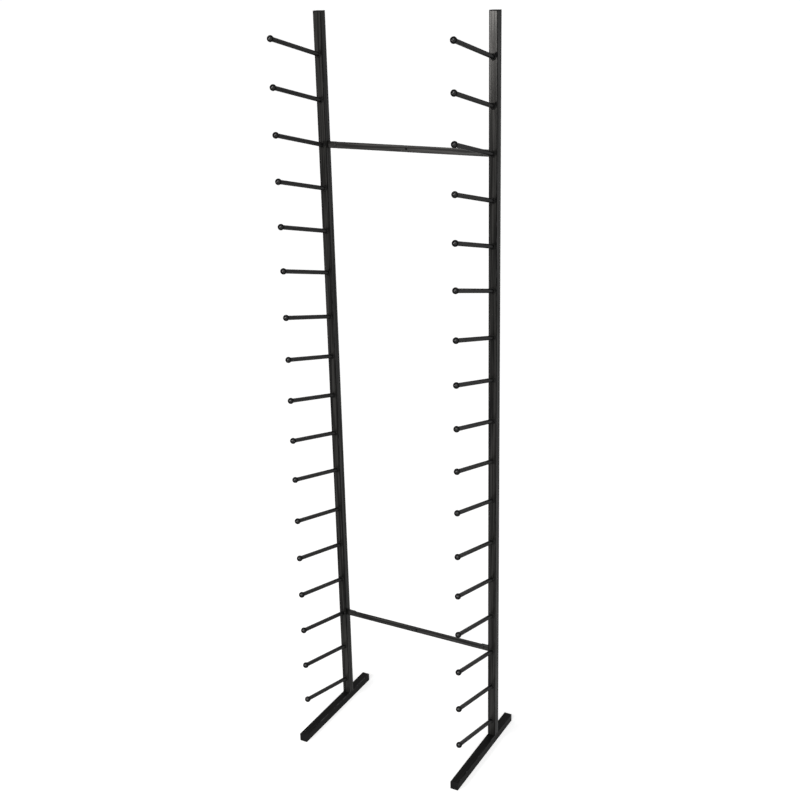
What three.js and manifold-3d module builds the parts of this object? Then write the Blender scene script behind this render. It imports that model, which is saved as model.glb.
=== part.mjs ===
import * as THREE from "three";
import { mergeVertices } from "three/addons/utils/BufferGeometryUtils.js";
import Module from "manifold-3d";

// A tall steel rack for rolled drawings. Two square posts, each spliced from three sections, stand
// on two square feet, and pairs of round arms with ball tips slope up towards the front.
// Millimetres, +Z up, arms towards -Y. The origin is on the floor, at the middle of the feet.

const wasm = await Module();
wasm.setup();

// Spacing of the arms and of the posts
const armsPerSection = [6, 5, 6];
const armCountBeyondCrossbar = 2;
const armPitch = 127;
const splicePitchExtra = 10.5;
const lowestArmHeight = 80;
const postTopOverhang = 116;
const postSpacing = 544;

// Square tube of the posts and the feet
const tubeSide = 25.4;
const tubeWall = 1.5;
const tubeCornerRadius = 1.0;
const boreCornerRadius = 0.4;

// Arms
const rodDiameter = 12.7;
const ballDiameter = 18.5;
const armLength = 242.5;
const armTiltDegrees = 13.6;
const weldLeg = 2.8;

// Feet
const footLength = 406.4;
const footFrontReach = 273.3;

// Tubes that stand inside the posts: the splice sleeves and the stubs on the feet
const innerTubeWall = 1.6;
const innerTubeChamfer = 1.6;
const sleeveLength = 90;
const stubHeight = 36;
const spliceScrewInset = 24;
const stubScrewHeight = 18;
const spliceScrewHole = 5;

// Crossbars, and the lugs welded to the posts that carry them
const barHeight = 19;
const barThickness = 3.2;
const barEndGap = 0.5;
const barCornerRadius = 1.5;
const barScrewHole = 6.5;
const lugThickness = 3.2;
const lugRootHeight = 22;
const lugTaperLength = 9;
const lugScrewInset = 24;

// End caps
const capPlateThickness = 2.5;
const capPlateBevel = 0.7;
const capSkirtLength = 13;
const capSkirtWall = 1.8;
const capSkirtRelief = 0.7;
const capRibThickness = 1.4;
const capRibCount = 1;

// Clearances, and how far a cut runs past what it cuts
const fitGap = 0.3;
const cutOverrun = 1;
const mergeDistance = 0.0001;

// Facets of round shapes
const armSides = 12;
const ballRings = 4;
const screwHoleSides = 8;
const cornerSteps = 1;

// Places that follow from the sizes above
const halfTurn = Math.PI;
const quarterTurn = halfTurn / 2;
const tilt = THREE.MathUtils.degToRad(armTiltDegrees);
const rodRadius = rodDiameter / 2;
const ballRadius = ballDiameter / 2;
const halfTube = tubeSide / 2;
const boreSide = tubeSide - 2 * tubeWall;
const innerTubeSide = boreSide - 2 * fitGap;
const postFrontY = footFrontReach - footLength / 2;
const postY = postFrontY + halfTube;

const powderCoat = { color: 0x1c1c1d, roughness: 0.42, metalness: 0.25 };
const armCoat = { color: 0x1a1a1b, roughness: 0.36, metalness: 0.25 };
const zincPlate = { color: 0xb4b6b8, roughness: 0.38, metalness: 0.85 };
const capPlastic = { color: 0x141415, roughness: 0.55, metalness: 0 };

const rack = new THREE.Group();

// Solids that can be cut and joined

function solidOf(geometry) {
  const shell = geometry.clone();
  shell.deleteAttribute("normal");
  shell.deleteAttribute("uv");
  const merged = mergeVertices(shell, mergeDistance);
  const corners = merged.index.array;
  const triangles = [];
  for (let first = 0; first < corners.length; first += 3) {
    const [a, b, c] = corners.slice(first, first + 3);
    if (a !== b && b !== c && c !== a) {
      triangles.push(a, b, c);
    }
  }
  return new wasm.Manifold(new wasm.Mesh({
    numProp: 3,
    vertProperties: new Float32Array(merged.attributes.position.array),
    triVerts: new Uint32Array(triangles),
  }));
}

function geometryOf(solid) {
  const mesh = solid.getMesh();
  const geometry = new THREE.BufferGeometry();
  geometry.setAttribute("position", new THREE.BufferAttribute(mesh.vertProperties, mesh.numProp));
  geometry.setIndex(new THREE.BufferAttribute(mesh.triVerts, 1));
  geometry.computeVertexNormals();
  return geometry;
}

function cut(solid, tools) {
  let left = solid;
  for (const tool of tools) {
    left = left.subtract(tool);
  }
  return left;
}

function place(name, geometry, finish, x, y, z) {
  const mesh = new THREE.Mesh(geometry, new THREE.MeshStandardMaterial(finish));
  mesh.name = name;
  mesh.position.set(x, y, z);
  rack.add(mesh);
  return mesh;
}

// Outlines

function roundedRectangle(width, height, radius) {
  const x = width / 2 - radius;
  const y = height / 2 - radius;
  const outline = new THREE.Shape();
  outline.moveTo(width / 2, -y);
  outline.absarc(x, y, radius, 0, quarterTurn, false);
  outline.absarc(-x, y, radius, quarterTurn, halfTurn, false);
  outline.absarc(-x, -y, radius, halfTurn, halfTurn + quarterTurn, false);
  outline.absarc(x, -y, radius, halfTurn + quarterTurn, 2 * halfTurn, false);
  return outline;
}

function chamferedSquare(side, chamfer) {
  const outer = side / 2;
  const inner = outer - chamfer;
  const outline = new THREE.Shape();
  outline.moveTo(outer, -inner);
  outline.lineTo(outer, inner);
  outline.lineTo(inner, outer);
  outline.lineTo(-inner, outer);
  outline.lineTo(-outer, inner);
  outline.lineTo(-outer, -inner);
  outline.lineTo(-inner, -outer);
  outline.lineTo(inner, -outer);
  outline.closePath();
  return outline;
}

function extrude(outline, depth) {
  return new THREE.ExtrudeGeometry(outline, { depth, bevelEnabled: false, curveSegments: cornerSteps });
}

// The tube that posts and feet are cut from, standing on z = 0
function squareTube(length) {
  const outline = roundedRectangle(tubeSide, tubeSide, tubeCornerRadius);
  outline.holes.push(roundedRectangle(boreSide, boreSide, boreCornerRadius));
  return extrude(outline, length);
}

// The lighter tube that slides into a post, standing on z = 0
function innerTube(length) {
  const outline = chamferedSquare(innerTubeSide, innerTubeChamfer);
  outline.holes.push(chamferedSquare(innerTubeSide - 2 * innerTubeWall, innerTubeChamfer / 2));
  return extrude(outline, length);
}

// A drill for a screw hole through the rear wall of a tube, at a height above its lower end
function rearDrill(diameter, height) {
  const drill = new THREE.CylinderGeometry(diameter / 2, diameter / 2, halfTube, screwHoleSides);
  drill.translate(0, halfTube, height);
  return solidOf(drill);
}

// Heights of the sections and of their arms, from the floor up

function layOutSections() {
  const sections = [];
  let armHeight = lowestArmHeight;
  let bottom = tubeSide;
  for (const armCount of armsPerSection) {
    const armHeights = [];
    for (let arm = 0; arm < armCount; arm += 1) {
      armHeights.push(armHeight + arm * armPitch);
    }
    const lastArm = armHeights[armCount - 1];
    const isLowest = sections.length === 0;
    const isTop = sections.length === armsPerSection.length - 1;
    const seam = lastArm + (armPitch + splicePitchExtra) / 2;
    const top = isTop ? lastArm + postTopOverhang : seam;
    sections.push({ bottom, top, armHeights, isLowest, isTop });
    bottom = top;
    armHeight = lastArm + armPitch + splicePitchExtra;
  }
  return sections;
}

// Post sections, each with a hole for every arm and its screw holes

function armHoleDrill(height) {
  const radius = rodRadius + fitGap;
  const drill = new THREE.CylinderGeometry(radius, radius, tubeSide, armSides);
  drill.rotateX(-tilt);
  drill.translate(0, -halfTube, height);
  return solidOf(drill);
}

function postSection(section) {
  const length = section.top - section.bottom;
  const drills = [];
  for (const armHeight of section.armHeights) {
    drills.push(armHoleDrill(armHeight - section.bottom));
  }
  drills.push(rearDrill(spliceScrewHole, section.isLowest ? stubScrewHeight : spliceScrewInset));
  if (!section.isTop) {
    drills.push(rearDrill(spliceScrewHole, length - spliceScrewInset));
  }
  return geometryOf(cut(solidOf(squareTube(length)), drills));
}

// Arms: a rod let into the post, its weld against the post's front face, and a ball at the tip

function armProfile() {
  const insideEnd = (tubeSide - tubeWall - fitGap - rodRadius * Math.sin(tilt)) / Math.cos(tilt);
  const neckAngle = Math.asin(rodRadius / ballRadius);
  const profile = [
    new THREE.Vector2(0, -insideEnd),
    new THREE.Vector2(rodRadius, -insideEnd),
  ];
  for (let ring = 0; ring <= ballRings; ring += 1) {
    const angle = neckAngle + ((halfTurn - neckAngle) * ring) / ballRings;
    const x = ring === ballRings ? 0 : ballRadius * Math.sin(angle);
    profile.push(new THREE.Vector2(x, armLength - ballRadius * Math.cos(angle)));
  }
  return profile;
}

// The weld leans with the rod, so it is a cone sheared along the post's face.
function weldCollar() {
  const rodHalfHeight = rodRadius / Math.cos(tilt);
  const profile = [
    new THREE.Vector2(0, 0),
    new THREE.Vector2(rodHalfHeight + weldLeg, 0),
    new THREE.Vector2(rodHalfHeight - fitGap, weldLeg + fitGap),
    new THREE.Vector2(0, weldLeg + fitGap),
  ];
  const collar = new THREE.LatheGeometry(profile, armSides);
  collar.rotateX(halfTurn);
  const lean = new THREE.Matrix4();
  lean.makeShear(0, 0, 0, -Math.tan(tilt), 0, 0);
  collar.applyMatrix4(lean);
  return collar;
}

function armGeometry() {
  const rod = new THREE.LatheGeometry(armProfile(), armSides);
  rod.rotateX(halfTurn - tilt);
  return geometryOf(solidOf(rod).add(solidOf(weldCollar())));
}

// Crossbars and their lugs

// A lug is a plate that narrows from the post's side to a round end, here pointing to +X
function lugGeometry() {
  const half = barHeight / 2;
  const outline = new THREE.Shape();
  outline.moveTo(0, -lugRootHeight / 2);
  outline.lineTo(lugTaperLength, -half);
  outline.absarc(lugScrewInset, 0, half, -quarterTurn, quarterTurn, false);
  outline.lineTo(lugTaperLength, half);
  outline.lineTo(0, lugRootHeight / 2);
  outline.closePath();
  const screwHole = new THREE.Path();
  screwHole.absarc(lugScrewInset, 0, barScrewHole / 2, 0, 2 * halfTurn, true);
  outline.holes.push(screwHole);
  const plate = new THREE.ExtrudeGeometry(outline, {
    depth: lugThickness,
    bevelEnabled: false,
    curveSegments: screwHoleSides / 2,
  });
  plate.translate(0, 0, -lugThickness);
  return plate;
}

function crossbarGeometry() {
  const length = postSpacing - tubeSide - 2 * barEndGap;
  const screwX = postSpacing / 2 - halfTube - lugScrewInset;
  const outline = roundedRectangle(length, barHeight, barCornerRadius);
  const bar = extrude(outline, barThickness);
  bar.rotateX(quarterTurn);
  const drills = [-screwX, 0, screwX].map((x) => {
    const drill = new THREE.CylinderGeometry(
      barScrewHole / 2, barScrewHole / 2, barThickness + 2 * cutOverrun, screwHoleSides);
    drill.translate(x, -barThickness / 2, 0);
    return solidOf(drill);
  });
  return geometryOf(cut(solidOf(bar), drills));
}

// End caps, with the plate upwards and the skirt hanging down into the tube

function capGeometry() {
  const plate = new THREE.ExtrudeGeometry(roundedRectangle(tubeSide, tubeSide, tubeCornerRadius), {
    depth: capPlateThickness - 2 * capPlateBevel,
    bevelEnabled: true,
    bevelThickness: capPlateBevel,
    bevelSize: capPlateBevel,
    bevelOffset: -capPlateBevel,
    bevelSegments: 1,
    curveSegments: cornerSteps,
  });
  plate.translate(0, 0, capPlateBevel);
  const skirtSide = innerTubeSide - 2 * capSkirtRelief;
  const skirtOutline = chamferedSquare(skirtSide, innerTubeChamfer);
  const skirt = extrude(skirtOutline, capSkirtLength + capPlateBevel);
  skirt.translate(0, 0, -capSkirtLength);
  let cap = solidOf(plate).add(solidOf(skirt));
  for (let rib = 0; rib < capRibCount; rib += 1) {
    const ring = extrude(chamferedSquare(innerTubeSide, innerTubeChamfer), capRibThickness);
    ring.translate(0, 0, -capSkirtLength * ((rib + 1) / (capRibCount + 1)) - capRibThickness / 2);
    cap = cap.add(solidOf(ring));
  }
  const hollow = extrude(chamferedSquare(skirtSide - 2 * capSkirtWall, innerTubeChamfer / 2), capSkirtLength);
  hollow.translate(0, 0, -capSkirtLength - cutOverrun);
  return geometryOf(cap.subtract(solidOf(hollow)));
}

// Assembly

const sections = layOutSections();
const sectionNames = ["lower", "middle", "upper"];
const armHeights = sections.flatMap((section) => section.armHeights);
const postTop = sections[sections.length - 1].top;
const footTubeEnd = footLength / 2 - capPlateThickness;

const footTube = squareTube(2 * footTubeEnd);
const stub = geometryOf(cut(solidOf(innerTube(stubHeight)), [rearDrill(spliceScrewHole, stubScrewHeight)]));
const sleeveDrills = [
  rearDrill(spliceScrewHole, sleeveLength / 2 - spliceScrewInset),
  rearDrill(spliceScrewHole, sleeveLength / 2 + spliceScrewInset),
];
const sleeve = geometryOf(cut(solidOf(innerTube(sleeveLength)), sleeveDrills));
const postSections = sections.map(postSection);
const arm = armGeometry();
const crossbar = crossbarGeometry();
const lug = lugGeometry();
const cap = capGeometry();

function placeFoot(sideName, x) {
  const foot = place(`foot_${sideName}`, footTube, powderCoat, x, footTubeEnd, halfTube);
  foot.rotation.x = quarterTurn;
  const frontCap = place(`foot_cap_${sideName}_front`, cap, capPlastic, x, -footTubeEnd, halfTube);
  frontCap.rotation.x = quarterTurn;
  const rearCap = place(`foot_cap_${sideName}_rear`, cap, capPlastic, x, footTubeEnd, halfTube);
  rearCap.rotation.x = -quarterTurn;
  place(`foot_stub_${sideName}`, stub, zincPlate, x, postY, tubeSide);
}

function placePost(sideName, x) {
  sections.forEach((section, level) => {
    const levelName = sectionNames[level];
    place(`post_${sideName}_${levelName}`, postSections[level], powderCoat, x, postY, section.bottom);
    if (!section.isTop) {
      const sleeveBottom = section.top - sleeveLength / 2;
      place(`splice_sleeve_${sideName}_${levelName}`, sleeve, zincPlate, x, postY, sleeveBottom);
    }
  });
  place(`post_cap_${sideName}`, cap, capPlastic, x, postY, postTop);
}

// Arms are numbered from the top tier down
function placeArms(sideName, x) {
  armHeights.forEach((height, index) => {
    const tier = String(armHeights.length - index).padStart(2, "0");
    place(`arm_${sideName}_${tier}`, arm, armCoat, x, postFrontY, height);
  });
}

// The lugs stand at the middle of the post's side, and the crossbar lies on their front
function placeCrossbar(levelName, height) {
  place(`crossbar_${levelName}`, crossbar, powderCoat, 0, postY, height);
  const lugX = postSpacing / 2 - halfTube;
  const leftLug = place(`crossbar_lug_left_${levelName}`, lug, powderCoat, -lugX, postY, height);
  leftLug.rotation.x = quarterTurn;
  const rightLug = place(`crossbar_lug_right_${levelName}`, lug, powderCoat, lugX, postY, height);
  rightLug.rotation.set(quarterTurn, 0, halfTurn);
}

for (const [sideName, side] of [["left", -1], ["right", 1]]) {
  const x = (side * postSpacing) / 2;
  placeFoot(sideName, x);
  placePost(sideName, x);
  placeArms(sideName, x);
}
placeCrossbar("lower", armHeights[armCountBeyondCrossbar]);
placeCrossbar("upper", armHeights[armHeights.length - 1 - armCountBeyondCrossbar]);

export default rack;
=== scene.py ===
import math

import bmesh
import bpy
from mathutils import Matrix, Vector, noise


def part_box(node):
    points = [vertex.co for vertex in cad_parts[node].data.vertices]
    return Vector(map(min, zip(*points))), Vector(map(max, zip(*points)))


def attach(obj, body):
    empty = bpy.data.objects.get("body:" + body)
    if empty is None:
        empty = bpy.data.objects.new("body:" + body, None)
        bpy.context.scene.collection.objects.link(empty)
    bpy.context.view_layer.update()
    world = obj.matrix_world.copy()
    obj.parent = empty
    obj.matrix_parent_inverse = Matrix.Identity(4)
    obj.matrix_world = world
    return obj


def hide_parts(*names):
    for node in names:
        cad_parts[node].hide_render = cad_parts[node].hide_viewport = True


# A tall steel storage rack: spliced square posts on square feet, with pairs of round arms that
# slope up to ball tips. Metres, +Z up, arms towards -Y.

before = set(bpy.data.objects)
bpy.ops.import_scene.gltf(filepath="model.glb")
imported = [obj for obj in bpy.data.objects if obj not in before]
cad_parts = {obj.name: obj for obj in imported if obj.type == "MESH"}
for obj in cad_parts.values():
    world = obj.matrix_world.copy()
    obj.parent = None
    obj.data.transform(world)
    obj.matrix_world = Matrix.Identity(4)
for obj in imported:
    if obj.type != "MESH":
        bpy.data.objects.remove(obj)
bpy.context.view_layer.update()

MM = 0.001
SIDES = ("left", "right")
LEVELS = ("lower", "middle", "upper")
QUARTER_TURN = math.pi / 2
HALF_TURN = math.pi
FULL_TURN = 2 * math.pi

# Edges that turn by more than the first angle are bevelled, and in the finished mesh those that
# turn by more than the second stay sharp
BEVEL_ANGLE = QUARTER_TURN / 2
SHARP_ANGLE = math.radians(38)
EDGE_SEGMENTS = 2
MERGE = 0.001 * MM

# Square tube
TUBE_SIDE = 25.4 * MM
TUBE_WALL = 1.5 * MM
TUBE_CORNER = 1.0 * MM
BORE_CORNER = 0.4 * MM
SAWN_EDGE = 0.3 * MM
CORNER_STEPS = 6
TUBE_SECTION = (TUBE_SIDE / 2, TUBE_SIDE / 2, TUBE_SIDE / 2)

# Arms
ROD_RADIUS = 6.35 * MM
BALL_RADIUS = 9.25 * MM
ARM_LENGTH = 242.5 * MM
ARM_TILT = math.radians(13.6)
INSIDE_END_GAP = 0.3 * MM
ROD_CHAMFER = 0.8 * MM
NECK_FILLET = 1.6 * MM
ROD_STEPS = 48
BALL_STEPS = 20
NECK_STEPS = 5

# Welds. The beads at the lugs run straight and thin out at their ends, where they keep the share of
# their radius whose square is given.
WELD_LEG = 2.8 * MM
WELD_SINK = 1.0 * MM
WELD_STEPS = 120
WELD_SECTION_STEPS = 14
WELD_RIPPLES = 26
WELD_RIPPLE_SHARE = 0.055
WELD_DRIFT_SHARE = 0.10
LUG_WELD_RADIUS = WELD_LEG * 0.85
LUG_WELD_STEPS = 60
LUG_WELD_END_SQUARE = 0.15
LUG_WELD_END_POWER = 6

# Crossbars and lugs
BAR_CORNER = 1.5 * MM
BAR_EDGE = 0.4 * MM
BAR_HOLE_RADIUS = 3.25 * MM
HOLE_STEPS = 28
LUG_ROOT = 22.0 * MM
LUG_TAPER = 9.0 * MM
LUG_SCREW_INSET = 24.0 * MM
LUG_EDGE = 0.35 * MM
LUG_END_STEPS = 12

# Hollow plugs pushed from behind into the middle holes of the crossbars
PLUG_HEAD_RADIUS = 5.0 * MM
PLUG_HEAD = 1.6 * MM
PLUG_STEM_RADIUS = 3.15 * MM
PLUG_BORE_RADIUS = 2.5 * MM
PLUG_STEM_RECESS = 0.7 * MM
PLUG_FLOOR = 0.6 * MM

# End caps
CAP_PLATE = 2.5 * MM
CAP_ROUNDING = 0.7 * MM
CAP_ROUNDING_SEGMENTS = 4
CAP_SKIRT_SIDE = 21.0 * MM
CAP_SKIRT_CORNER = 2.2 * MM
CAP_SKIRT_WALL = 1.8 * MM
CAP_SKIRT = 13.0 * MM

# Screws of the crossbars, and of the splices and stubs
BAR_SCREW = {"head": 5.2 * MM, "height": 3.0 * MM, "socket": 2.0 * MM, "depth": 1.7 * MM}
REAR_SCREW = {"head": 4.6 * MM, "height": 2.6 * MM, "socket": 1.6 * MM, "depth": 1.4 * MM}
HEX_SIDES = 6
SCREW_RIM_TO_SOCKET = 1.45
SCREW_SKIRT_SHARE = 0.22
HEAD_STEPS = 36
DOME_STEPS = 6
WASHER_RADIUS = 6.0 * MM
WASHER_THICKNESS = 1.2 * MM
WASHER_EDGE = WASHER_THICKNESS / 5
NUT_RADIUS = 5.7 * MM
NUT_HEIGHT = 4.8 * MM
NUT_EDGE = NUT_HEIGHT / 12
THREAD_RADIUS = 3.0 * MM
THREAD_CHAMFER = THREAD_RADIUS / 5
THREAD_PAST_NUT = 2.0 * MM
SPLICE_SCREW_INSET = 24.0 * MM
STUB_SCREW_HEIGHT = 18.0 * MM


# Shaping

def sharp_edges(bm):
    """The edges at which a closed shape turns sharply."""
    bmesh.ops.recalc_face_normals(bm, faces=bm.faces)
    return [edge for edge in bm.edges if edge.calc_face_angle(0) > BEVEL_ANGLE]


def soften(bm, edges, width, segments=EDGE_SEGMENTS):
    bmesh.ops.bevel(
        bm, geom=edges, offset=width, offset_type="OFFSET", segments=segments,
        profile=0.5, affect="EDGES", material=-1)


def round_corners(bm, corners, radius, segments):
    bmesh.ops.bevel(
        bm, geom=corners, offset=radius, offset_type="OFFSET", segments=segments,
        profile=0.5, affect="VERTICES", material=-1)


def verts_in(parts):
    return [part for part in parts if isinstance(part, bmesh.types.BMVert)]


def edges_in(parts):
    return [part for part in parts if isinstance(part, bmesh.types.BMEdge)]


def raise_faces(bm, faces, height):
    """Extrudes flat faces straight up."""
    grown = bmesh.ops.extrude_face_region(bm, geom=faces)["geom"]
    bmesh.ops.translate(bm, verts=verts_in(grown), vec=(0, 0, height))


def rounded_square(bm, side, radius):
    """A flat square face with round corners, at z = 0."""
    corners = bmesh.ops.create_grid(bm, x_segments=1, y_segments=1, size=side / 2)["verts"]
    round_corners(bm, corners, radius, CORNER_STEPS)
    return bm.faces[:]


def spin_closed(bm, geom, steps):
    """Turns an outline once round the Z axis and closes the seam."""
    bmesh.ops.spin(
        bm, geom=geom, cent=(0, 0, 0), axis=(0, 0, 1), angle=FULL_TURN, steps=steps,
        use_merge=True, use_duplicate=False)
    bmesh.ops.remove_doubles(bm, verts=bm.verts, dist=MERGE)


def revolve(bm, profile, steps):
    """Turns a profile of (radius, height) points round the Z axis."""
    points = [bm.verts.new((radius, 0, height)) for radius, height in profile]
    edges = [bm.edges.new(pair) for pair in zip(points, points[1:])]
    spin_closed(bm, points + edges, steps)


def fill_outlines(bm):
    bmesh.ops.triangle_fill(
        bm, edges=bm.edges[:], use_beauty=True, use_dissolve=False, normal=(0, 0, 1))


def fill_between(bm, thickness):
    """Fills the area between the outlines that are in bm, and gives it a thickness."""
    bmesh.ops.delete(bm, geom=bm.faces[:], context="FACES_ONLY")
    fill_outlines(bm)
    raise_faces(bm, bm.faces[:], thickness)


def flat_plate(bm, holes, thickness):
    """Fills the outline in bm, less round holes at (x, y, radius), and gives it a thickness."""
    for x, y, radius in holes:
        bmesh.ops.create_circle(
            bm, cap_ends=False, segments=HOLE_STEPS, radius=radius, matrix=shifted(x, y, 0))
    fill_between(bm, thickness)


def hollow_square(side, corner, wall, length):
    """A square tube with round corners, standing on z = 0."""
    bm = bmesh.new()
    rounded_square(bm, side, corner)
    rounded_square(bm, side - 2 * wall, BORE_CORNER)
    fill_between(bm, length)
    return bm


def joined(bm, other):
    """Takes the other shape into the first one."""
    mesh = mesh_of("taken_in", other)
    bm.from_mesh(mesh)
    bpy.data.meshes.remove(mesh)
    return bm


def moved(bm, *matrices):
    """Applies placing steps in the order given."""
    for matrix in matrices:
        bmesh.ops.transform(bm, matrix=matrix, verts=bm.verts)
    return bm


def turned(axis, angle):
    return Matrix.Rotation(angle, 4, axis)


def shifted(x, y, z):
    return Matrix.Translation((x, y, z))


# What points up is turned to the front of the rack, or to its rear
FORWARD = turned("X", QUARTER_TURN)
BACKWARD = turned("X", -QUARTER_TURN)


def mesh_of(name, bm):
    mesh = bpy.data.meshes.new(name)
    bm.to_mesh(mesh)
    bm.free()
    return mesh


def put_in_scene(name, data):
    holder = bpy.data.objects.new(name, data)
    bpy.context.scene.collection.objects.link(holder)
    return holder


def piece_of(name, bm, finish, slot, *stands_for):
    """Makes a finished piece: smooth but for its sharp edges, and riding on the rack."""
    bmesh.ops.recalc_face_normals(bm, faces=bm.faces)
    mesh = mesh_of(name, bm)
    mesh.shade_smooth()
    mesh.set_sharp_from_angle(angle=SHARP_ANGLE)
    mesh.materials.append(finish)
    piece = put_in_scene(name, mesh)
    piece.modifiers.new("Flat faces", "WEIGHTED_NORMAL").keep_sharp = True
    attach(piece, "root")
    if stands_for:
        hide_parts(*stands_for)


def middle_of(node):
    low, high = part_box(node)
    return (low + high) / 2


# Node helpers

VECTOR = "NodeSocketVector"
FLOAT = "NodeSocketFloat"
WHOLE = (0.0, 1.0)
# Noise seldom leaves this range
NOISE_SPAN = (0.3, 0.7)


def emptied_tree(owner):
    """The node tree of a material or world, with nothing in it."""
    owner.use_nodes = True
    owner.node_tree.nodes.clear()
    return owner.node_tree


def add_node(tree, kind, **settings):
    made = tree.nodes.new("ShaderNode" + kind)
    for setting, value in settings.items():
        setattr(made, setting, value)
    return made


def feed(tree, target, source):
    """Links a socket to a source, or sets it where the source is a plain value."""
    if isinstance(source, bpy.types.NodeSocket):
        tree.links.new(source, target)
    else:
        target.default_value = source


def noise_of(tree, place, scale, detail, roughness=0.5):
    made = add_node(tree, "TexNoise")
    feed(tree, made.inputs["Vector"], place)
    feed(tree, made.inputs["Scale"], scale)
    feed(tree, made.inputs["Detail"], detail)
    feed(tree, made.inputs["Roughness"], roughness)
    return made.outputs["Fac"]


def math_of(tree, operation, first, second=None, clamp=False):
    made = add_node(tree, "Math", operation=operation, use_clamp=clamp)
    feed(tree, made.inputs[0], first)
    if second is not None:
        feed(tree, made.inputs[1], second)
    return made.outputs[0]


def product(tree, first, second):
    return math_of(tree, "MULTIPLY", first, second)


def spread(tree, value, span, onto=WHOLE, smooth=True):
    """Maps a span of a value onto another one, clamped."""
    made = add_node(tree, "MapRange", clamp=True)
    made.interpolation_type = "SMOOTHSTEP" if smooth else "LINEAR"
    feed(tree, made.inputs["Value"], value)
    feed(tree, made.inputs["From Min"], span[0])
    feed(tree, made.inputs["From Max"], span[1])
    feed(tree, made.inputs["To Min"], onto[0])
    feed(tree, made.inputs["To Max"], onto[1])
    return made.outputs["Result"]


def between(tree, share, low, high):
    """Goes evenly from low to high as a share goes from 0 to 1."""
    return spread(tree, share, WHOLE, (low, high), smooth=False)


def mixed(tree, share, first, second):
    made = add_node(tree, "Mix", data_type="RGBA")
    feed(tree, made.inputs["Factor"], share)
    feed(tree, made.inputs["A"], first)
    feed(tree, made.inputs["B"], second)
    return made.outputs["Result"]


def axes_of(tree, vector):
    made = add_node(tree, "SeparateXYZ")
    feed(tree, made.inputs["Vector"], vector)
    return made.outputs


def bump_of(tree, height, distance, strength):
    made = add_node(tree, "Bump")
    feed(tree, made.inputs["Height"], height)
    feed(tree, made.inputs["Distance"], distance)
    feed(tree, made.inputs["Strength"], strength)
    return made.outputs["Normal"]


def new_group(name, inputs, outputs):
    """A node group with named sockets, and its input sockets and output sockets inside."""
    tree = bpy.data.node_groups.new(name, "ShaderNodeTree")
    for socket, kind in inputs.items():
        tree.interface.new_socket(name=socket, in_out="INPUT", socket_type=kind)
    for socket, kind in outputs.items():
        tree.interface.new_socket(name=socket, in_out="OUTPUT", socket_type=kind)
    given = tree.nodes.new("NodeGroupInput").outputs
    result = tree.nodes.new("NodeGroupOutput").inputs
    return tree, given, result


def place_group(tree, group, **inputs):
    made = add_node(tree, "Group", node_tree=group)
    for socket, source in inputs.items():
        feed(tree, made.inputs[socket], source)
    return made.outputs


# Effects that several finishes share

# The coat's skin
GRIT_SHARE = 0.35
DRIFT_SCALE = 9.0

# Dust stays on faces that lean back this far, in patches
DUST_LEAN = (0.55, 1.0)
DUST_PATCHES = (0.38, 0.72)

# Drawn lines: how far noise is drawn out, how much finer and fainter the narrow lines are than the
# broad ones, and how strong the noise is where lines begin and are full
LINE_STRETCH = (1.0, 1.0, 0.02)
NARROW_LINE_FINENESS = 3.0
NARROW_LINE_SHARE = 0.5
LINE_SPAN = (0.58, 0.93)

# Where rub, and the bands of painted shade beside the edges, begin and are full, with 1 on the edge
# of the section, and the chips and patches that break up the rub
RUB_REACH = (0.80, 0.96)
SHADE_STRIP_REACH = (0.74, 0.92)
CHIP_SCALE = 60.0
RUB_PATCH_SCALE = 7.0
RUB_PATCH_SHARE = 0.6
RUB_SPAN = (0.78, 0.98)


def drawn_out(tree, place):
    """Stretches what is read at a place along Z."""
    made = add_node(tree, "Mapping")
    feed(tree, made.inputs["Vector"], place)
    feed(tree, made.inputs["Scale"], LINE_STRETCH)
    return made.outputs["Vector"]


def build_coat_skin():
    """The skin of a powder coat: orange peel, fine grit and a slow drift of its gloss."""
    tree, given, result = new_group(
        "Coat skin",
        {"Place": VECTOR, "Peel": FLOAT, "Grit": FLOAT},
        {"Height": FLOAT, "Drift": FLOAT})
    peel = noise_of(tree, given["Place"], given["Peel"], detail=1.0)
    grit = noise_of(tree, given["Place"], given["Grit"], detail=2.0)
    drift = noise_of(tree, given["Place"], DRIFT_SCALE, detail=3.0)
    height = math_of(tree, "ADD", peel, product(tree, grit, GRIT_SHARE))
    feed(tree, result["Height"], height)
    feed(tree, result["Drift"], spread(tree, drift, NOISE_SPAN))
    return tree


def build_settled_dust():
    """Dust lies on what faces up, thin and patchy."""
    tree, given, result = new_group(
        "Settled dust",
        {"Place": VECTOR, "Facing": VECTOR, "Scale": FLOAT},
        {"Mask": FLOAT})
    upward = spread(tree, axes_of(tree, given["Facing"])["Z"], DUST_LEAN)
    patches = noise_of(tree, given["Place"], given["Scale"], detail=4.0, roughness=0.6)
    patchy = spread(tree, patches, DUST_PATCHES)
    feed(tree, result["Mask"], product(tree, upward, patchy))
    return tree


def build_drawn_lines():
    """Long faint lines left by the forming of steel, along Z of the place that is given."""
    tree, given, result = new_group(
        "Drawn lines",
        {"Place": VECTOR, "Fineness": FLOAT},
        {"Mask": FLOAT})
    stretched = drawn_out(tree, given["Place"])
    broad = noise_of(tree, stretched, given["Fineness"], detail=1.0)
    fineness = product(tree, given["Fineness"], NARROW_LINE_FINENESS)
    narrow = noise_of(tree, stretched, fineness, detail=1.0)
    both = math_of(tree, "ADD", broad, product(tree, narrow, NARROW_LINE_SHARE))
    feed(tree, result["Mask"], spread(tree, both, LINE_SPAN))
    return tree


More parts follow.
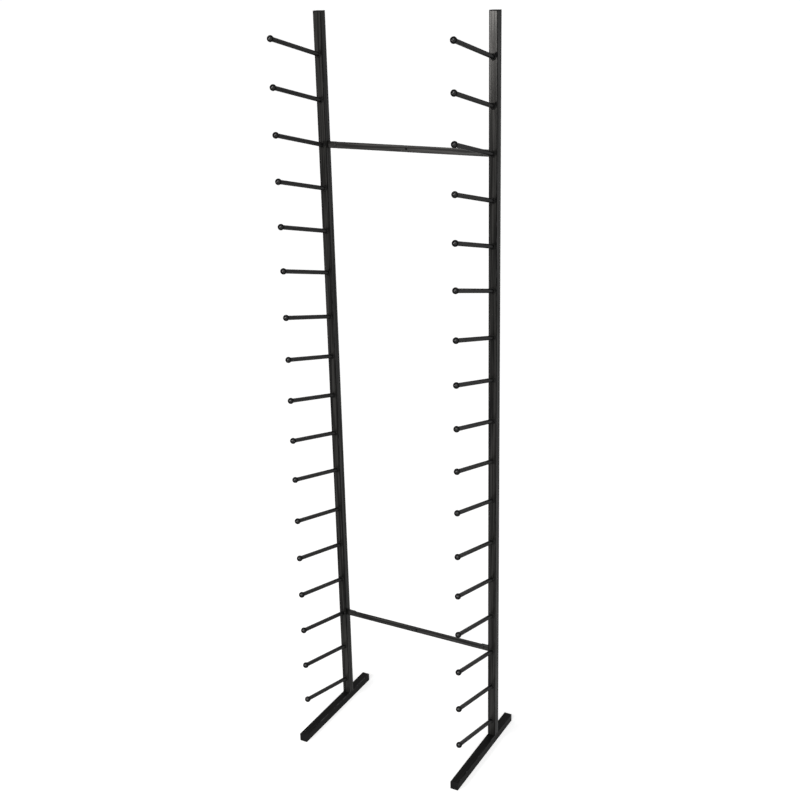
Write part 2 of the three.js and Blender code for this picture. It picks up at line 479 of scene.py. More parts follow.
def build_edge_rub_and_shade():
    """Rubbed long edges, and bands of painted shade beside them.

    Across holds the two coordinates of a section, at 1 on its faces.
    """
    tree, given, result = new_group(
        "Edge rub and shade",
        {"Across": VECTOR, "Place": VECTOR, "Extent": FLOAT},
        {"Mask": FLOAT, "Strip": FLOAT})
    section = axes_of(tree, given["Across"])
    first = math_of(tree, "ABSOLUTE", section["X"])
    second = math_of(tree, "ABSOLUTE", section["Y"])
    nearness = math_of(tree, "MINIMUM", first, second)
    chips = noise_of(tree, given["Place"], CHIP_SCALE, detail=5.0, roughness=0.65)
    patches = noise_of(tree, given["Place"], RUB_PATCH_SCALE, detail=2.0)
    uneven = math_of(tree, "ADD", chips, product(tree, patches, RUB_PATCH_SHARE))
    broken = spread(tree, uneven, RUB_SPAN)
    worn = product(tree, spread(tree, nearness, RUB_REACH), broken)
    feed(tree, result["Mask"], product(tree, worn, given["Extent"]))
    # A mask for the bands of painted shade beside the edges
    feed(tree, result["Strip"], spread(tree, nearness, SHADE_STRIP_REACH))
    return tree


COAT_SKIN = build_coat_skin()
SETTLED_DUST = build_settled_dust()
DRAWN_LINES = build_drawn_lines()
EDGE_RUB_AND_SHADE = build_edge_rub_and_shade()


# Finishes

BALL_BLACK = (0.0015, 0.0015, 0.0016, 1)
COAT_BLACK = (0.0024, 0.0024, 0.0025, 1)
COAT_WARM_BLACK = (0.0052, 0.0050, 0.0047, 1)
LINE_GREY = (0.036, 0.0352, 0.0335, 1)
RUBBED_GREY = (0.060, 0.060, 0.062, 1)
DUST_GREY = (0.085, 0.083, 0.080, 1)

# How each part of the rack wears its coat and is shaded: shares of rub on its long edges, of the
# painted shade in bands beside them, of lines and of dust, the least and most gloss of the coat's
# top, and how soft the reflections in it are
# Only the posts have painted shade beside their edges
POST_WEAR_AND_SHADE = {
    "rub": 0.35, "shade_strips": 0.85, "lines": 0.60, "dust": 0.12, "gloss": (0.09, 0.22), "soft": 0.21}
FOOT_WEAR = {
    "rub": 1.6, "shade_strips": 0.0, "lines": 0.11, "dust": 0.02, "gloss": (0.02, 0.05), "soft": 0.40}
BAR_WEAR = {
    "rub": 0.6, "shade_strips": 0.0, "lines": 0.56, "dust": 0.20, "gloss": (0.22, 0.50), "soft": 0.30}
ROD_WEAR = {"lines": 0.26, "dust": 0.15, "gloss": (0.17, 0.43), "soft": 0.20}

# The grain of the coats, the scale of the dust on them, their lines and their least and most
# roughness. A bump is a distance and a strength.
COAT_GRAIN = {"Peel": 520.0, "Grit": 1900.0}
COAT_DUST_SCALE = 38.0
COAT_LINE_FINENESS = 2.0
COAT_ROUGHNESS = (0.42, 0.54)
COAT_BUMP = (0.06 * MM, 0.6)
LINE_HEIGHT = 1.2
DUST_DULLING = 0.5
BASE_SPECULAR = 0.02
ROD_GRAIN = {"Peel": 560.0, "Grit": 2000.0}
ROD_DUST_SCALE = 46.0
ROD_LINE_FINENESS = 1.8
ROD_ROUGHNESS = (0.40, 0.50)
ROD_BUMP = (0.05 * MM, 0.5)

# The height from which the noise of a post's streaks is read, which picks their places across it
STREAKS_START = {"left": -49.53, "right": -43.18}

# Rods are polished on what faces up. Towards the rim of a ball or rod the coat's fine grain leaves
# only a share of its gloss. A rod mostly points at the viewer, so its rim begins further round.
POLISHED_LEAN = (0.5, 0.95)
BALL_GLOSS = 0.66
RIM_GLOSS_SHARE = 0.05
BALL_RIM = (0.05, 0.26)
ROD_RIM = (0.50, 0.76)

CAP_BLACKS = ((0.0050, 0.0050, 0.0052, 1), (0.0105, 0.0105, 0.0108, 1))
CAP_GRAIN_SCALE = 2600.0
CAP_CLOUD_SCALE = 45.0
CAP_DUST_SCALE = 55.0
CAP_DUST_SHARE = 0.05
CAP_ROUGHNESS = (0.50, 0.62)
CAP_GLOSS = (0.04, 0.07)
CAP_SOFT = 0.5
CAP_BUMP = (0.05 * MM, 0.6)

OXIDE_BLACKS = ((0.009, 0.009, 0.0088, 1), (0.022, 0.021, 0.020, 1))
OXIDE_MOTTLE_SCALE = 420.0
OXIDE_METAL_SHARE = 0.6
OXIDE_ROUGHNESS = (0.32, 0.48)
TURNING_MARK_SCALE = 3200.0

ZINC_GREYS = ((0.46, 0.47, 0.49, 1), (0.62, 0.62, 0.61, 1))
ZINC_LINE_SCALE = 2400.0
ZINC_CLOUD_SCALE = 70.0
ZINC_ROUGHNESS = (0.26, 0.42)
METAL_BUMP = (0.02 * MM, 0.5)


def new_finish(name):
    """A material with one shader, and the coordinates that its patterns can be read in."""
    finish = bpy.data.materials.new(name)
    tree = emptied_tree(finish)
    shader = add_node(tree, "BsdfPrincipled")
    output = add_node(tree, "OutputMaterial")
    tree.links.new(shader.outputs[0], output.inputs["Surface"])
    return finish, tree, shader, add_node(tree, "TexCoord").outputs


def section_place(tree, place, middle, turn, section):
    """Brings a piece's long axis to Z and its section's faces to 1 on X and Y."""
    centred = add_node(tree, "Mapping", vector_type="TEXTURE")
    feed(tree, centred.inputs["Vector"], place)
    feed(tree, centred.inputs["Location"], middle)
    feed(tree, centred.inputs["Rotation"], turn)
    feed(tree, centred.inputs["Scale"], section)
    return centred.outputs["Vector"]


def coat_finish(name, middle, turn, section, wear_and_shade):
    """Black powder coat on drawn steel, rubbed along its edges and dusty on top, with shade painted
    in bands beside the edges as far as is given.
    """
    finish, tree, shader, read = new_finish(name)
    place = read["Object"]
    skin = place_group(tree, COAT_SKIN, Place=place, **COAT_GRAIN)
    dust = place_group(
        tree, SETTLED_DUST, Place=place, Facing=read["Normal"], Scale=COAT_DUST_SCALE)["Mask"]
    across = section_place(tree, place, middle, turn, section)
    edges = place_group(tree, EDGE_RUB_AND_SHADE, Across=across, Place=place, Extent=wear_and_shade["rub"])
    rubbed = edges["Mask"]
    # Painted shade: beside the long edges the drawn lines and the gloss are taken out, so those
    # bands render darker and duller
    flat = between(tree, edges["Strip"], 1.0, 1 - wear_and_shade["shade_strips"])
    lines = place_group(tree, DRAWN_LINES, Place=across, Fineness=COAT_LINE_FINENESS)["Mask"]
    lines = product(tree, lines, flat)
    base = mixed(tree, skin["Drift"], COAT_BLACK, COAT_WARM_BLACK)
    base = mixed(tree, product(tree, lines, wear_and_shade["lines"]), base, LINE_GREY)
    base = mixed(tree, rubbed, base, RUBBED_GREY)
    base = mixed(tree, product(tree, dust, wear_and_shade["dust"]), base, DUST_GREY)
    feed(tree, shader.inputs["Base Color"], base)
    rough = between(tree, skin["Drift"], *COAT_ROUGHNESS)
    feed(tree, shader.inputs["Roughness"], math_of(tree, "ADD", rough, rubbed, clamp=True))
    dull = product(tree, dust, DUST_DULLING)
    shiny = math_of(tree, "SUBTRACT", lines, dull, clamp=True)
    gloss = between(tree, shiny, *wear_and_shade["gloss"])
    feed(tree, shader.inputs["Coat Weight"], product(tree, gloss, flat))
    shader.inputs["Coat Roughness"].default_value = wear_and_shade["soft"]
    shader.inputs["Specular IOR Level"].default_value = BASE_SPECULAR
    height = math_of(tree, "ADD", skin["Height"], product(tree, lines, LINE_HEIGHT))
    feed(tree, shader.inputs["Normal"], bump_of(tree, height, *COAT_BUMP))
    return finish


def arm_finish(name, ball_start):
    """The same coat on round rod, polished along its top, and a shinier one on the ball tips."""
    finish, tree, shader, read = new_finish(name)
    place = read["Object"]
    facing = read["Normal"]
    skin = place_group(tree, COAT_SKIN, Place=place, **ROD_GRAIN)
    dust = place_group(
        tree, SETTLED_DUST, Place=place, Facing=facing, Scale=ROD_DUST_SCALE)["Mask"]
    along = section_place(
        tree, place, (0, 0, 0), (QUARTER_TURN - ARM_TILT, 0, 0),
        (ROD_RADIUS, ROD_RADIUS, ROD_RADIUS))
    lines = place_group(tree, DRAWN_LINES, Place=along, Fineness=ROD_LINE_FINENESS)["Mask"]
    rod = spread(tree, axes_of(tree, place)["Y"], (ball_start - NECK_FILLET, ball_start))
    coat = mixed(tree, skin["Drift"], COAT_BLACK, COAT_WARM_BLACK)
    base = mixed(tree, rod, BALL_BLACK, coat)
    lined = product(tree, lines, product(tree, rod, ROD_WEAR["lines"]))
    base = mixed(tree, lined, base, LINE_GREY)
    base = mixed(tree, product(tree, dust, ROD_WEAR["dust"]), base, DUST_GREY)
    feed(tree, shader.inputs["Base Color"], base)
    feed(tree, shader.inputs["Roughness"], between(tree, skin["Drift"], *ROD_ROUGHNESS))
    polished = spread(tree, axes_of(tree, facing)["Z"], POLISHED_LEAN)
    rim = add_node(tree, "LayerWeight").outputs["Facing"]
    on_ball = spread(tree, rim, BALL_RIM, (BALL_GLOSS, BALL_GLOSS * RIM_GLOSS_SHARE))
    on_rod = product(
        tree, between(tree, polished, *ROD_WEAR["gloss"]),
        spread(tree, rim, ROD_RIM, (1.0, RIM_GLOSS_SHARE)))
    feed(tree, shader.inputs["Coat Weight"], between(tree, rod, on_ball, on_rod))
    shader.inputs["Coat Roughness"].default_value = ROD_WEAR["soft"]
    shader.inputs["Specular IOR Level"].default_value = BASE_SPECULAR
    feed(tree, shader.inputs["Normal"], bump_of(tree, skin["Height"], *ROD_BUMP))
    return finish


def cap_finish(name):
    """Black moulded plastic with a fine spark-eroded grain."""
    finish, tree, shader, read = new_finish(name)
    place = read["Object"]
    dust = place_group(
        tree, SETTLED_DUST, Place=place, Facing=read["Normal"], Scale=CAP_DUST_SCALE)["Mask"]
    cloud = noise_of(tree, place, CAP_CLOUD_SCALE, detail=3.0)
    base = mixed(tree, cloud, *CAP_BLACKS)
    base = mixed(tree, product(tree, dust, CAP_DUST_SHARE), base, DUST_GREY)
    feed(tree, shader.inputs["Base Color"], base)
    feed(tree, shader.inputs["Roughness"], spread(tree, cloud, NOISE_SPAN, CAP_ROUGHNESS))
    feed(tree, shader.inputs["Coat Weight"], spread(tree, cloud, NOISE_SPAN, CAP_GLOSS))
    shader.inputs["Coat Roughness"].default_value = CAP_SOFT
    shader.inputs["Specular IOR Level"].default_value = BASE_SPECULAR
    grain = noise_of(tree, place, CAP_GRAIN_SCALE, detail=3.0, roughness=0.6)
    feed(tree, shader.inputs["Normal"], bump_of(tree, grain, *CAP_BUMP))
    return finish


def screw_finish(name):
    """Black oxide steel, oily and faintly brown, with turning marks."""
    finish, tree, shader, read = new_finish(name)
    mottle = noise_of(tree, read["Object"], OXIDE_MOTTLE_SCALE, detail=4.0)
    feed(tree, shader.inputs["Base Color"], mixed(tree, mottle, *OXIDE_BLACKS))
    shader.inputs["Metallic"].default_value = OXIDE_METAL_SHARE
    feed(tree, shader.inputs["Roughness"], spread(tree, mottle, NOISE_SPAN, OXIDE_ROUGHNESS))
    marks = noise_of(tree, read["Object"], TURNING_MARK_SCALE, detail=2.0)
    feed(tree, shader.inputs["Normal"], bump_of(tree, marks, *METAL_BUMP))
    return finish


def zinc_finish(name):
    """Bright zinc plate on steel tube, faintly clouded, with fine drawn lines along the tube."""
    finish, tree, shader, read = new_finish(name)
    cloud = noise_of(tree, read["Object"], ZINC_CLOUD_SCALE, detail=3.0)
    feed(tree, shader.inputs["Base Color"], mixed(tree, cloud, *ZINC_GREYS))
    shader.inputs["Metallic"].default_value = 1.0
    feed(tree, shader.inputs["Roughness"], spread(tree, cloud, NOISE_SPAN, ZINC_ROUGHNESS))
    lines = noise_of(tree, drawn_out(tree, read["Object"]), ZINC_LINE_SCALE, detail=3.0)
    feed(tree, shader.inputs["Normal"], bump_of(tree, lines, *METAL_BUMP))
    return finish


CAP_FINISH = cap_finish("Cap plastic")
SCREW_FINISH = screw_finish("Black oxide screw")
ZINC_FINISH = zinc_finish("Zinc plate")


# Posts and feet

def square_tube(length):
    """The tube of a post or foot, its sawn ends softened."""
    bm = hollow_square(TUBE_SIDE, TUBE_CORNER, TUBE_WALL, length)
    soften(bm, sharp_edges(bm), SAWN_EDGE)
    return bm


def build_posts():
    for side in SIDES:
        middle = middle_of(f"post_{side}_lower")
        finish = coat_finish(
            f"Post coat {side}", (middle.x, middle.y, STREAKS_START[side]), (0, 0, 0),
            TUBE_SECTION, POST_WEAR_AND_SHADE)
        for level in LEVELS:
            node = f"post_{side}_{level}"
            low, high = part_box(node)
            bm = moved(square_tube(high.z - low.z), shifted(middle.x, middle.y, low.z))
            piece_of(f"{node}_finished", bm, finish, "powder_coat", node)


def build_feet():
    for side in SIDES:
        node = f"foot_{side}"
        low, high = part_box(node)
        middle = middle_of(node)
        finish = coat_finish(
            f"Foot coat {side}", (middle.x, 0, middle.z), (QUARTER_TURN, 0, 0),
            TUBE_SECTION, FOOT_WEAR)
        bm = moved(square_tube(high.y - low.y), FORWARD, shifted(middle.x, high.y, middle.z))
        piece_of(f"{node}_finished", bm, finish, "powder_coat", node)


# End caps

def end_cap():
    """A cap with its plate over z = 0 and its skirt hanging below."""
    bm = bmesh.new()
    underside = rounded_square(bm, TUBE_SIDE, TUBE_CORNER)
    raise_faces(bm, underside, CAP_PLATE)
    top_edges = [
        edge for edge in sharp_edges(bm)
        if min(vert.co.z for vert in edge.verts) > CAP_PLATE / 2]
    soften(bm, top_edges, CAP_ROUNDING, CAP_ROUNDING_SEGMENTS)
    skirt = hollow_square(
        CAP_SKIRT_SIDE, CAP_SKIRT_CORNER, CAP_SKIRT_WALL, CAP_SKIRT + CAP_PLATE / 2)
    bmesh.ops.recalc_face_normals(skirt, faces=skirt.faces)
    return joined(bm, moved(skirt, shifted(0, 0, -CAP_SKIRT)))


def build_caps():
    for side in SIDES:
        node = f"post_cap_{side}"
        middle = middle_of(node)
        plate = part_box(node)[1].z - CAP_PLATE
        bm = moved(end_cap(), shifted(middle.x, middle.y, plate))
        piece_of(f"{node}_finished", bm, CAP_FINISH, "cap_plastic", node)
        for end, turn in (("front", FORWARD), ("rear", BACKWARD)):
            node = f"foot_cap_{side}_{end}"
            middle = middle_of(node)
            low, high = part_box(node)
            plate = low.y + CAP_PLATE if end == "front" else high.y - CAP_PLATE
            bm = moved(end_cap(), turn, shifted(middle.x, plate, middle.z))
            piece_of(f"{node}_finished", bm, CAP_FINISH, "cap_plastic", node)


# Arms

def rod_inside(depth):
    """How long a rod's axis is inside the post, where its end reaches this far behind the face."""
    return (depth - ROD_RADIUS * math.sin(ARM_TILT)) / math.cos(ARM_TILT)


def arm_profile():
    """The rod's outline from its end in the post to the tip of its ball, as (radius, height)."""
    inside = rod_inside(TUBE_SIDE - TUBE_WALL - INSIDE_END_GAP)
    profile = [
        (0, -inside), (ROD_RADIUS - ROD_CHAMFER, -inside), (ROD_RADIUS, ROD_CHAMFER - inside)]
    fillet_reach = math.sqrt(
        (BALL_RADIUS + NECK_FILLET) ** 2 - (ROD_RADIUS + NECK_FILLET) ** 2)
    fillet_height = ARM_LENGTH - fillet_reach
    neck_turn = math.asin((ROD_RADIUS + NECK_FILLET) / (BALL_RADIUS + NECK_FILLET))
    for step in range(NECK_STEPS + 1):
        angle = (QUARTER_TURN - neck_turn) * step / NECK_STEPS
        profile.append((
            ROD_RADIUS + NECK_FILLET * (1 - math.cos(angle)),
            fillet_height + NECK_FILLET * math.sin(angle)))
    for step in range(1, BALL_STEPS + 1):
        angle = neck_turn + (HALF_TURN - neck_turn) * step / BALL_STEPS
        radius = 0 if step == BALL_STEPS else BALL_RADIUS * math.sin(angle)
        profile.append((radius, ARM_LENGTH - BALL_RADIUS * math.cos(angle)))
    return profile


def ripple(angle, seed):
    """How much fuller or leaner the bead is at an angle, as the welder's hand moved."""
    waves = WELD_RIPPLE_SHARE * math.cos(WELD_RIPPLES * angle + seed)
    drift = WELD_DRIFT_SHARE * noise.noise(Vector((math.cos(angle), math.sin(angle), seed)))
    return 1 + waves + drift


def root_weld(seed):
    """A fillet bead round the rod where it meets the post, in the frame of the post's face."""
    bm = bmesh.new()
    centre = ROD_RADIUS - WELD_SINK
    section_radius = math.hypot(WELD_LEG + WELD_SINK, WELD_SINK)
    bmesh.ops.create_circle(
        bm, cap_ends=False, segments=WELD_SECTION_STEPS, radius=section_radius,
        matrix=shifted(centre, 0, -WELD_SINK) @ FORWARD)
    spin_closed(bm, bm.verts[:] + bm.edges[:], WELD_STEPS)
    for vert in bm.verts:
        angle = math.atan2(vert.co.y, vert.co.x)
        ring = Vector((centre * math.cos(angle), centre * math.sin(angle), -WELD_SINK))
        vert.co = ring + (vert.co - ring) * ripple(angle, seed)
    lean = Matrix((
        (1, 0, 0, 0),
        (0, 1, 0, 0),
        (0, -math.tan(ARM_TILT), 1 / math.cos(ARM_TILT), 0),
        (0, 0, 0, 1)))
    return moved(bm, FORWARD, lean)


def arm(seed):
    """An arm whose axis leaves the post's face at the origin."""
    bm = bmesh.new()
    revolve(bm, arm_profile(), ROD_STEPS)
    moved(bm, turned("X", QUARTER_TURN - ARM_TILT))
    return joined(bm, root_weld(seed))


def build_arms():
    face_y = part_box("post_left_lower")[0].y
    axis_over_end = ROD_RADIUS * math.cos(ARM_TILT)
    ball_start = face_y - (ARM_LENGTH - BALL_RADIUS) * math.cos(ARM_TILT)
    finish = arm_finish("Arm coat", ball_start)
    nodes = sorted(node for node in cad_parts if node.startswith("arm_"))
    for seed, node in enumerate(nodes):
        low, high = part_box(node)
        rise = rod_inside(high.y - face_y) * math.sin(ARM_TILT)
        bm = moved(arm(seed), shifted(middle_of(node).x, face_y, low.z + rise + axis_over_end))
        piece_of(f"{node}_finished", bm, finish, "arm_coat", node)


# Crossbars and lugs

def crossbar(length, height, thickness, screw_x):
    bm = bmesh.new()
    corners = bmesh.ops.create_grid(bm, x_segments=1, y_segments=1, size=1 / 2)["verts"]
    bmesh.ops.scale(bm, verts=corners, vec=(length, height, 1))
    round_corners(bm, corners, BAR_CORNER, CORNER_STEPS)
    flat_plate(bm, [(x, 0, BAR_HOLE_RADIUS) for x in (-screw_x, 0, screw_x)], thickness)
    soften(bm, sharp_edges(bm), BAR_EDGE)
    return moved(bm, FORWARD)


def lug(height, thickness, length):
    """A lug whose root is at x = 0 and whose round end points to +X."""
    bm = bmesh.new()
    half = height / 2
    outline = [
        (0, -LUG_ROOT / 2), (LUG_TAPER, -half), (length, -half),
        (length, half), (LUG_TAPER, half), (0, LUG_ROOT / 2)]
    corners = [bm.verts.new((x, y, 0)) for x, y in outline]
    bm.faces.new(corners)
    end_corners = corners[2:4]
    round_corners(bm, end_corners, half, LUG_END_STEPS)
    bmesh.ops.remove_doubles(bm, verts=bm.verts, dist=MERGE)
    flat_plate(bm, [(LUG_SCREW_INSET, 0, BAR_HOLE_RADIUS)], thickness)
    soften(bm, sharp_edges(bm), LUG_EDGE)
    return moved(bm, FORWARD)


def straight_weld(length, seed):
    """A bead along Z, centred on the corner that it fills and thinner at its ends."""
    bm = bmesh.new()
    bmesh.ops.create_circle(
        bm, cap_ends=False, segments=WELD_SECTION_STEPS, radius=LUG_WELD_RADIUS,
        matrix=shifted(0, 0, -length / 2))
    bmesh.ops.spin(
        bm, geom=bm.verts[:] + bm.edges[:], cent=(0, 0, 0), axis=(0, 0, 1), angle=0,
        steps=LUG_WELD_STEPS, dvec=(0, 0, length / LUG_WELD_STEPS),
        use_merge=False, use_duplicate=False)
    bmesh.ops.holes_fill(bm, edges=bm.edges[:], sides=0)
    for vert in bm.verts:
        along = vert.co.z / length
        taper = math.sqrt(max(LUG_WELD_END_SQUARE, 1 - (2 * along) ** LUG_WELD_END_POWER))
        swell = taper * ripple(along * HALF_TURN, seed)
        vert.co.x *= swell
        vert.co.y *= swell
    return bm


# Screws, nuts, washers and plugs

def button_head(size):
    """A domed screw head with a six-sided socket, sitting on z = 0."""
    bm = bmesh.new()
    radius = size["socket"] * SCREW_RIM_TO_SOCKET
    bmesh.ops.create_circle(bm, cap_ends=False, segments=HEX_SIDES, radius=size["socket"])
    bmesh.ops.create_circle(bm, cap_ends=False, segments=HEAD_STEPS, radius=radius)
    bmesh.ops.translate(bm, verts=bm.verts, vec=(0, 0, size["height"]))
    socket = [edge for edge in bm.edges if edge.calc_length() > size["socket"] / 2]
    ring = [edge for edge in bm.edges if edge not in socket]
    fill_outlines(bm)
    sunk = bmesh.ops.extrude_edge_only(bm, edges=socket)["geom"]
    bmesh.ops.translate(bm, verts=verts_in(sunk), vec=(0, 0, -size["depth"]))
    bmesh.ops.holes_fill(bm, edges=edges_in(sunk), sides=HEX_SIDES)
    for wanted, height in head_outline(size, radius):
        grown = bmesh.ops.extrude_edge_only(bm, edges=ring)["geom"]
        verts = verts_in(grown)
        ring = [edge for edge in edges_in(grown) if all(vert in verts for vert in edge.verts)]
        bmesh.ops.scale(bm, verts=verts, vec=(wanted / radius, wanted / radius, 1))
        for vert in verts:
            vert.co.z = height
        radius = wanted
    bmesh.ops.holes_fill(bm, edges=ring, sides=0)
    return bm


def head_outline(size, rim):
    """The dome of a screw head from its rim down to z = 0, as (radius, height)."""
    skirt = size["height"] * SCREW_SKIRT_SHARE
    outline = []
    for step in range(1, DOME_STEPS + 1):
        angle = QUARTER_TURN * step / DOME_STEPS
        outline.append((
            rim + (size["head"] - rim) * math.sin(angle),
            skirt + (size["height"] - skirt) * math.cos(angle)))
    outline.append((size["head"], 0))
    return outline


def holed_plate(sides, radius, thickness, edge):
    """A nut or washer on z = 0."""
    bm = bmesh.new()
    bmesh.ops.create_circle(bm, cap_ends=True, segments=sides, radius=radius)
    flat_plate(bm, [(0, 0, THREAD_RADIUS)], thickness)
    soften(bm, sharp_edges(bm), edge)
    return bm


def thread_end(length):
    bm = bmesh.new()
    profile = [
        (0, 0), (THREAD_RADIUS, 0), (THREAD_RADIUS, length - THREAD_CHAMFER),
        (THREAD_RADIUS - THREAD_CHAMFER, length), (0, length)]
    revolve(bm, profile, HEAD_STEPS)
    return bm


def hole_plug(bar_thickness):
    """A plug whose head stands on z = 0 and whose hollow stem goes down into the bar's hole."""
    bm = bmesh.new()
    bore_end = PLUG_HEAD - PLUG_FLOOR
    stem_end = PLUG_STEM_RECESS - bar_thickness
    profile = [
        (0, bore_end), (PLUG_BORE_RADIUS, bore_end), (PLUG_BORE_RADIUS, stem_end),
        (PLUG_STEM_RADIUS, stem_end), (PLUG_STEM_RADIUS, 0), (PLUG_HEAD_RADIUS, 0)]
    for step in range(DOME_STEPS + 1):
        angle = QUARTER_TURN * step / DOME_STEPS
        radius = 0 if step == DOME_STEPS else PLUG_HEAD_RADIUS * math.cos(angle)
        profile.append((radius, PLUG_FLOOR + bore_end * math.sin(angle)))
    revolve(bm, profile, HEAD_STEPS)
    return bm


def build_crossbars():
    reach = -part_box("post_left_lower")[1].x
    screw_x = reach - LUG_SCREW_INSET
    for level in ("lower", "upper"):
        node = f"crossbar_{level}"
        low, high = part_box(node)
        middle = middle_of(node)
        size = high - low
        section = (size.z / 2, size.y / 2, size.z / 2)
        finish = coat_finish(
            f"Crossbar coat {level}", middle, (0, QUARTER_TURN, 0), section, BAR_WEAR)
        bar = moved(crossbar(size.x, size.z, size.y, screw_x), shifted(0, high.y, middle.z))
        piece_of(f"{node}_finished", bar, finish, "powder_coat", node)
        plug = moved(hole_plug(size.y), BACKWARD, shifted(0, high.y, middle.z))
        piece_of(f"crossbar_plug_{level}", plug, CAP_FINISH, "cap_plastic")
        for side, sign in (("left", -1), ("right", 1)):
            build_lug(side, sign, level, reach, size.z, finish)
            build_bar_screw(f"{side}_{level}", sign * screw_x, low.y, middle.z)


def build_lug(side, sign, level, reach, height, finish):
    node = f"crossbar_lug_{side}_{level}"
    low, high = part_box(node)
    size = high - low
    root = shifted(sign * reach, high.y, middle_of(node).z)
    bm = lug(height, size.y, size.x)
    if sign > 0:
        moved(bm, turned("Z", HALF_TURN), shifted(0, -size.y, 0))
    piece_of(f"{node}_finished", moved(bm, root), finish, "powder_coat", node)
    bead = moved(straight_weld(LUG_ROOT, sign), root)
    piece_of(f"crossbar_lug_weld_{side}_{level}", bead, finish, "powder_coat")


def build_bar_screw(name, x, front_y, z):
    rear_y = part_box("crossbar_lug_left_upper")[1].y
    screw = button_head(BAR_SCREW)
    washer = holed_plate(HEAD_STEPS, WASHER_RADIUS, WASHER_THICKNESS, WASHER_EDGE)
    nut = holed_plate(HEX_SIDES, NUT_RADIUS, NUT_HEIGHT, NUT_EDGE)
    thread = thread_end(WASHER_THICKNESS + NUT_HEIGHT + THREAD_PAST_NUT)
    for kind, bm, turn, y, finish, slot in (
            ("screw", screw, FORWARD, front_y, SCREW_FINISH, "powder_coat"),
            ("washer", washer, BACKWARD, rear_y, ZINC_FINISH, "zinc_plate"),
            ("nut", nut, BACKWARD, rear_y + WASHER_THICKNESS, ZINC_FINISH, "zinc_plate"),
            ("thread", thread, BACKWARD, rear_y, SCREW_FINISH, "powder_coat")):
        piece_of(f"crossbar_{kind}_{name}", moved(bm, turn, shifted(x, y, z)), finish, slot)


def build_rear_screws():
    """Screws through the rear walls of the posts, into the splice sleeves and the foot stubs."""
    rear_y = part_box("post_left_lower")[1].y
    for side in SIDES:
        heights = {"stub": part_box(f"post_{side}_lower")[0].z + STUB_SCREW_HEIGHT}
        for level in LEVELS[:-1]:
            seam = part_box(f"post_{side}_{level}")[1].z
            heights[f"{level}_splice_below"] = seam - SPLICE_SCREW_INSET
            heights[f"{level}_splice_above"] = seam + SPLICE_SCREW_INSET
        x = middle_of(f"post_{side}_lower").x
        for place, z in heights.items():
            bm = moved(button_head(REAR_SCREW), BACKWARD, shifted(x, rear_y, z))
            piece_of(f"{place}_screw_{side}", bm, SCREW_FINISH, "powder_coat")


def dress_hidden_tubes():
    for node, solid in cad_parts.items():
        if node.startswith(("splice_sleeve", "foot_stub")):
            solid.data.materials.clear()
            solid.data.materials.append(ZINC_FINISH)


# Studio

WHITE = (1, 1, 1, 1)
FLOOR_SIZE = 400.0
FLOOR_DROP = 0.2 * MM
FLOOR_COLOUR = (0.80, 0.80, 0.80, 1)
FLOOR_GLOW = 0.48
WORLD_LIGHT = 0.36
HIGH_LIGHT = {
    "kind": "SUN", "place": (0.9, -3.6, 3.7), "aim": (0, 0, 1.1),
    "angle": math.radians(32), "energy": 1.8}
SOFTBOX = {
    "kind": "AREA", "place": (-1.1, -3.1, 2.12), "aim": (0.1, 0, 2.1), "shape": "RECTANGLE",
    "size": 0.6, "size_y": 0.64, "energy": 50, "color": (1.0, 0.965, 0.925)}
CAMERA_PLACE = (1.6468, -2.9603, 2.3715)
CAMERA_AZIMUTH = math.radians(29.02)
CAMERA_DOWN = math.radians(19.78)
CAMERA_LEAN = math.radians(-1.41)
CAMERA_LENS = 54.66
CAMERA_SENSOR = 36


def seen_directly(tree):
    """1 where the camera, a reflection or glass sees a surface, and 0 where it lights others."""
    path = add_node(tree, "LightPath").outputs
    seen = math_of(tree, "MAXIMUM", path["Is Camera Ray"], path["Is Glossy Ray"])
    return math_of(tree, "MAXIMUM", seen, path["Is Transmission Ray"])


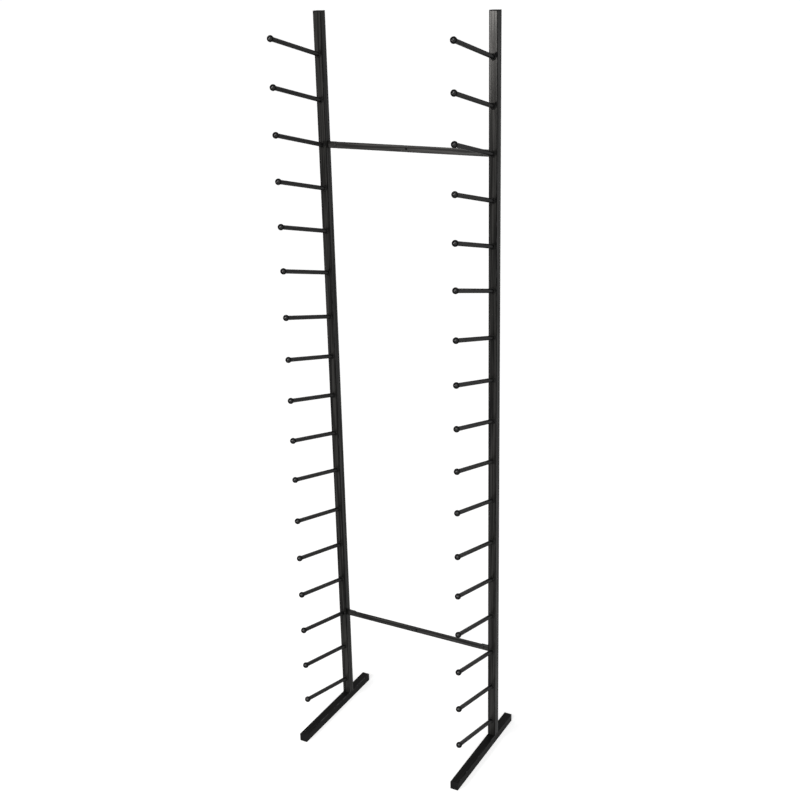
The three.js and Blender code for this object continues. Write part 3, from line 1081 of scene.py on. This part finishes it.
def floor_finish(name):
    """Pale and matt, and white to what sees it directly, but for the shadow of the rack."""
    finish = bpy.data.materials.new(name)
    tree = emptied_tree(finish)
    matt = add_node(tree, "BsdfDiffuse")
    matt.inputs["Color"].default_value = FLOOR_COLOUR
    glow = add_node(tree, "Emission")
    glow.inputs["Color"].default_value = WHITE
    feed(tree, glow.inputs["Strength"], product(tree, seen_directly(tree), FLOOR_GLOW))
    both = add_node(tree, "AddShader")
    tree.links.new(matt.outputs[0], both.inputs[0])
    tree.links.new(glow.outputs[0], both.inputs[1])
    output = add_node(tree, "OutputMaterial")
    tree.links.new(both.outputs[0], output.inputs["Surface"])
    return finish


def build_floor():
    bm = bmesh.new()
    bmesh.ops.create_grid(bm, x_segments=1, y_segments=1, size=FLOOR_SIZE / 2)
    mesh = mesh_of("studio_floor", moved(bm, shifted(0, 0, -FLOOR_DROP)))
    mesh.materials.append(floor_finish("Studio floor"))
    put_in_scene("studio_floor", mesh)


def build_world():
    world = bpy.data.worlds.new("Studio")
    bpy.context.scene.world = world
    tree = emptied_tree(world)
    around = add_node(tree, "Background")
    around.inputs["Color"].default_value = WHITE
    feed(tree, around.inputs["Strength"], between(tree, seen_directly(tree), WORLD_LIGHT, 1.0))
    output = add_node(tree, "OutputWorld")
    tree.links.new(around.outputs[0], output.inputs["Surface"])


def build_lamp(name, kind, place, aim, **settings):
    lamp = bpy.data.lights.new(name, kind)
    for setting, value in settings.items():
        setattr(lamp, setting, value)
    holder = put_in_scene(name, lamp)
    holder.location = place
    holder.rotation_euler = (Vector(place) - Vector(aim)).to_track_quat("Z", "Y").to_euler()


def build_camera():
    camera = bpy.data.cameras.new("camera")
    camera.sensor_width = CAMERA_SENSOR
    camera.lens = CAMERA_LENS
    holder = put_in_scene("camera", camera)
    holder.matrix_world = (
        shifted(*CAMERA_PLACE)
        @ turned("Z", CAMERA_AZIMUTH)
        @ turned("X", QUARTER_TURN - CAMERA_DOWN)
        @ turned("Z", CAMERA_LEAN))
    bpy.context.scene.camera = holder


build_posts()
build_feet()
build_caps()
build_arms()
build_crossbars()
build_rear_screws()
dress_hidden_tubes()
build_floor()
build_world()
build_lamp("high_soft_light", **HIGH_LIGHT)
build_lamp("front_softbox", **SOFTBOX)
build_camera()
bpy.context.scene.view_settings.view_transform = "Standard"
